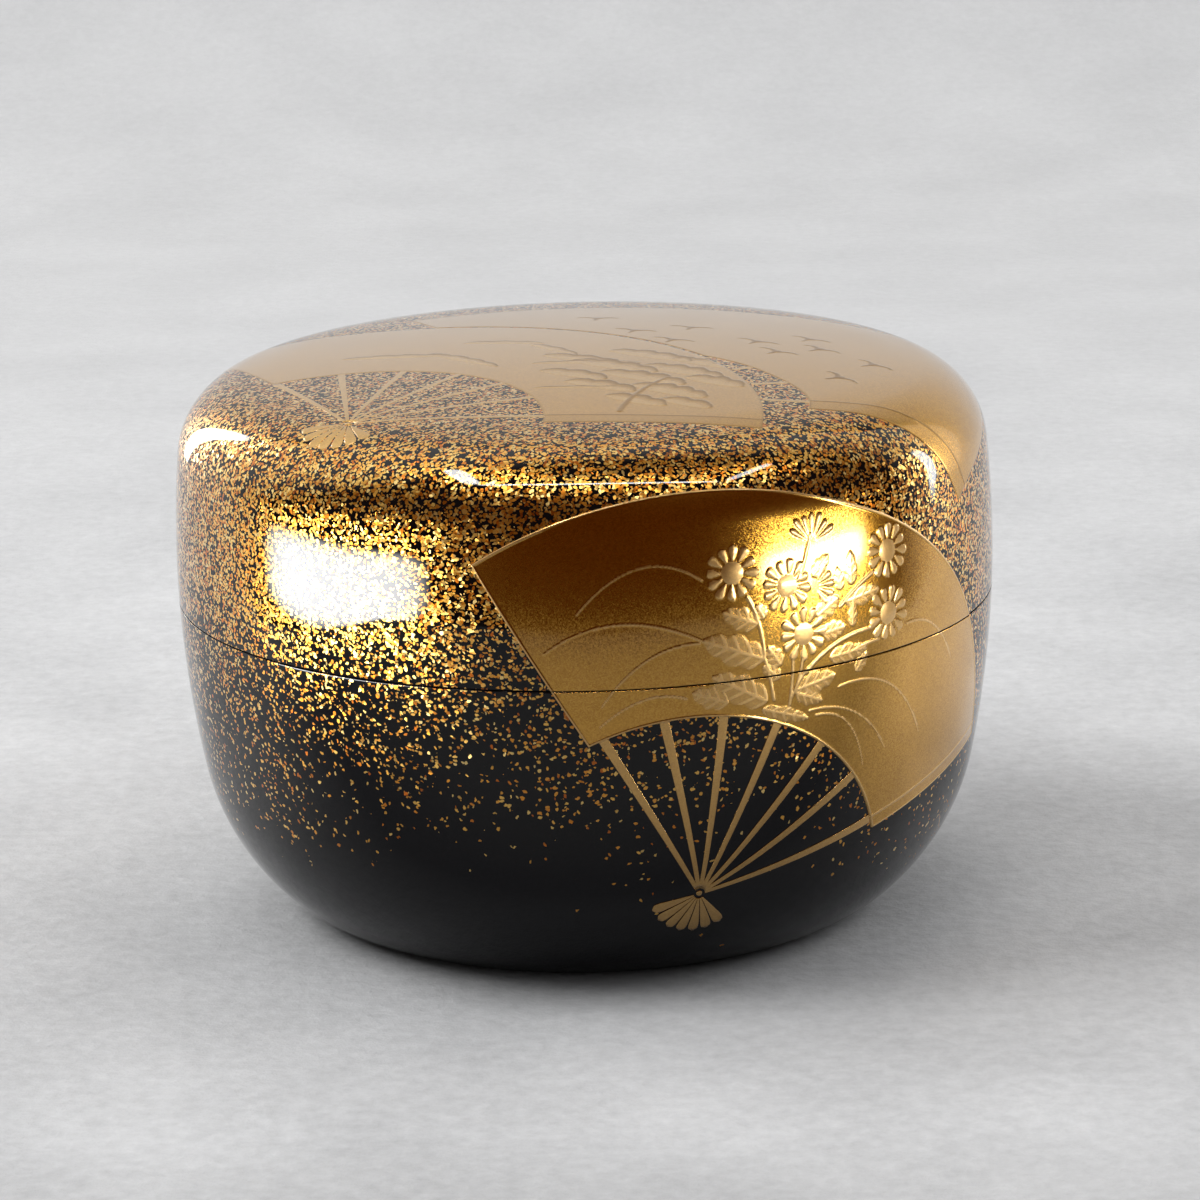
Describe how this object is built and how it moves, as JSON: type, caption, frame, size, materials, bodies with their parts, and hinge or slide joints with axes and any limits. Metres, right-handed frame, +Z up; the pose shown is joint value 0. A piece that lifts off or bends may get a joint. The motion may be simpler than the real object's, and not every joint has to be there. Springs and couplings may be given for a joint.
{
  "type": "lacquer tea caddy",
  "caption": "Low round tea caddy with a drop-over lid and a lipped bowl, black lacquer with sprinkled gold flakes and open fans in raised gold.",
  "frame": {"origin": "centre of the foot, in the plane the caddy stands on", "axes": "+Z up through the middle of the lid, -Y towards the front, where the fan with flowers is, +X to the right seen from the front"},
  "size_m": [0.0828, 0.0833, 0.0573],
  "materials": {
    "gold_flaked_lacquer": "gloss black lacquer over turned wood, thickly sprinkled with gold flakes, with satin gold fans in low relief",
    "black_lacquer": "gloss black lacquer over turned wood, gold flakes thinning out downwards, with a satin gold fan in low relief"
  },
  "bodies": {
    "root": {"lid": "gold_flaked_lacquer", "bowl": "black_lacquer"}
  },
  "joints": []
}
